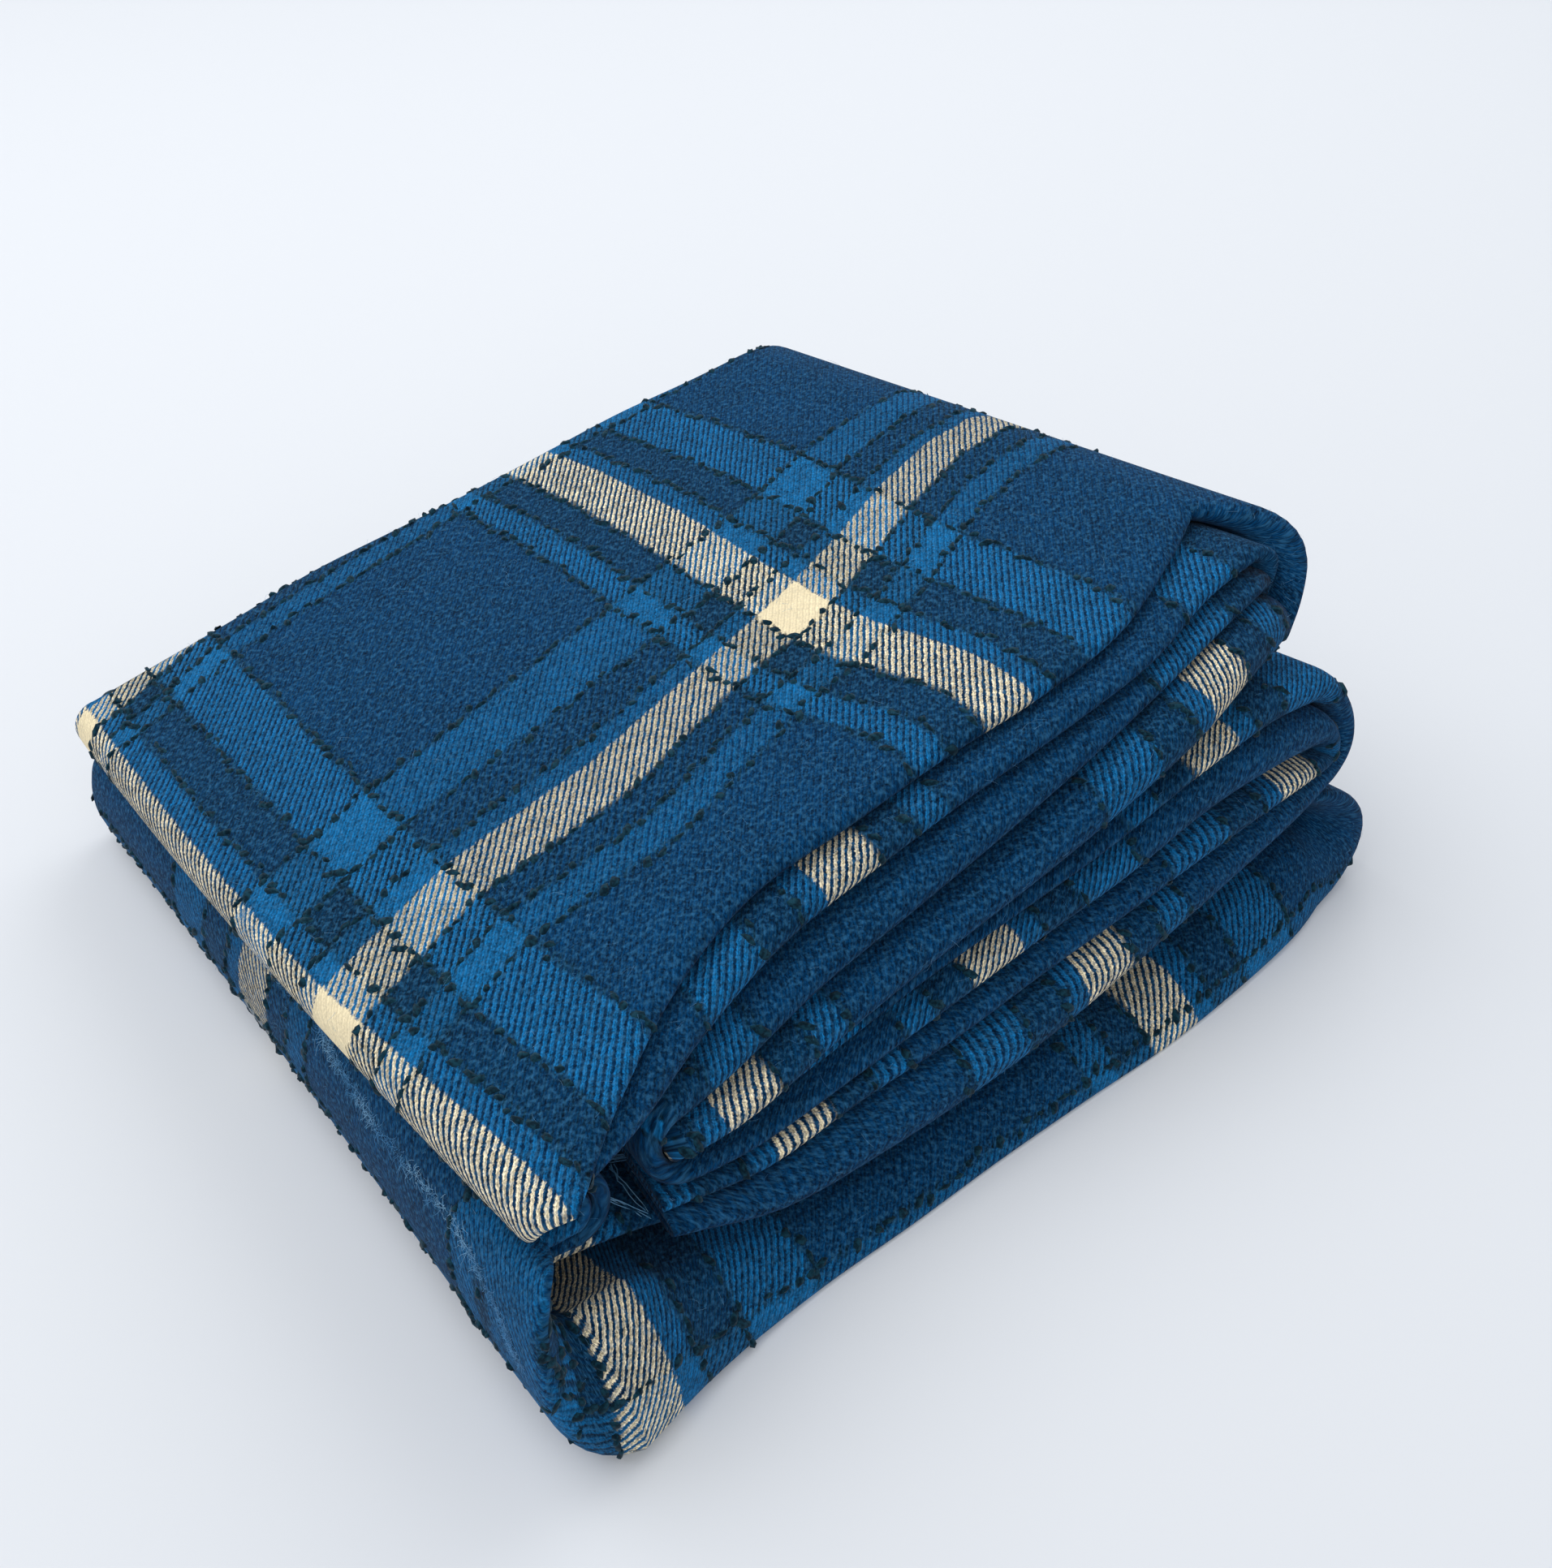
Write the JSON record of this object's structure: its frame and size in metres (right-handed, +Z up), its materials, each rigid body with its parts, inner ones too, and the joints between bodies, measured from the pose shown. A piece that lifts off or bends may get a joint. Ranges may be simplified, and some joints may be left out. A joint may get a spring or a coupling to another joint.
{
  "type": "folded wool cloth",
  "caption": "Folded length of checked wool twill: a four-layer strip laid back and forth in a wedge-shaped stack that its own outer pass wraps.",
  "frame": {"origin": "on the surface it rests on, under the middle of the stack's box", "axes": "+X along the open side with the folded edges, towards the thicker end; +Y from that side to the back; +Z up, away from the resting face"},
  "size_m": [0.2925, 0.2683, 0.1076],
  "materials": {
    "wool": "napped wool twill, matt, woven in a blue check with cream lines and dark slubs"
  },
  "bodies": {
    "root": {"wool_cloth": "wool"}
  },
  "joints": []
}
